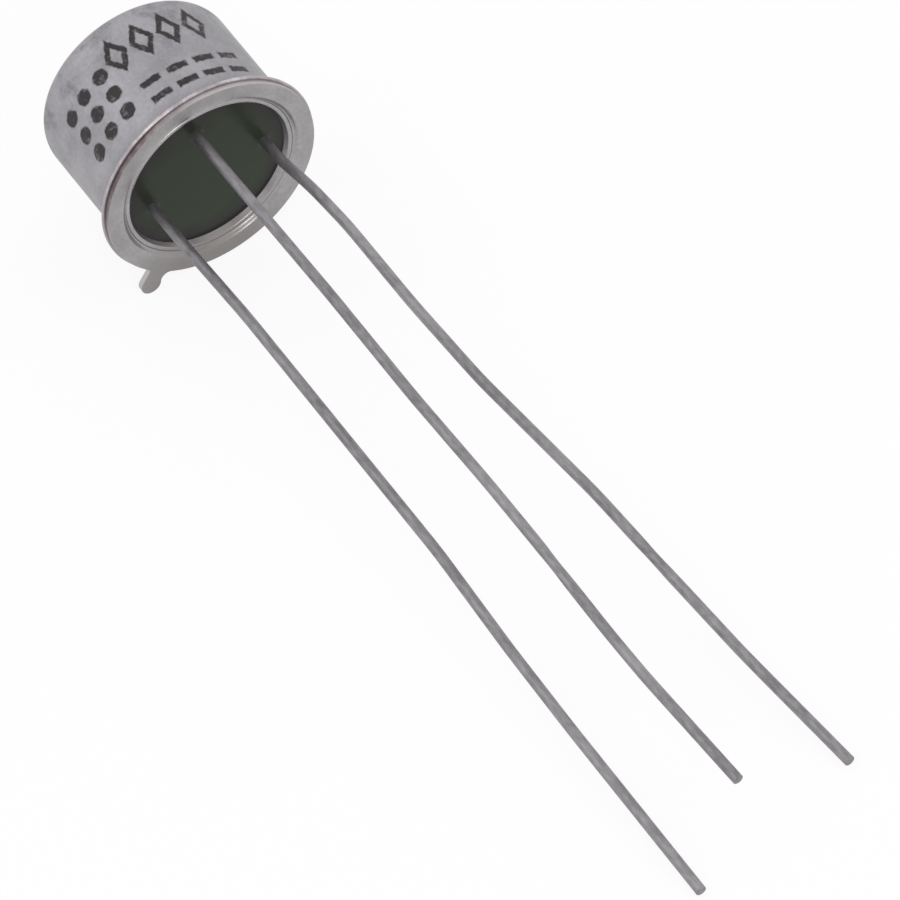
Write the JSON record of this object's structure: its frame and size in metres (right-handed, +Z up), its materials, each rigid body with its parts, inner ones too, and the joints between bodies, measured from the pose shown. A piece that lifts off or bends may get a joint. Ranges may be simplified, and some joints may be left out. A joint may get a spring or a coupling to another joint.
{
  "type": "germanium transistor",
  "caption": "Alloy-junction germanium transistor in a round flanged metal can, with an index tab and long wire leads, lying on its side.",
  "frame": {"origin": "centre of the footprint on the surface that the part lies on", "axes": "+X along the leads, away from the can; +Y across the leads, towards the collector's side; +Z up"},
  "size_m": [0.0458, 0.0098, 0.0094],
  "materials": {
    "can_steel": "satin nickel plate, faintly stained, with dark ink marks",
    "header_alloy": "satin plate with fine scratches",
    "sealing_glass": "glossy dark green, opaque",
    "lead_wire": "dull drawn wire",
    "nickel_sheet": "satin",
    "tin_solder": "bright, flowed",
    "germanium": "etched, dark grey",
    "indium": "soft satin",
    "whisker_wire": "bright drawn wire"
  },
  "bodies": {
    "root": {"cap": "can_steel", "header_eyelet": "header_alloy", "header_glass": "sealing_glass", "emitter_lead": "lead_wire", "base_lead": "lead_wire", "collector_lead": "lead_wire", "base_tab": "nickel_sheet", "base_solder": "tin_solder", "germanium_wafer": "germanium", "emitter_dot": "indium", "collector_dot": "indium", "emitter_whisker": "whisker_wire", "collector_whisker": "whisker_wire"}
  },
  "joints": []
}
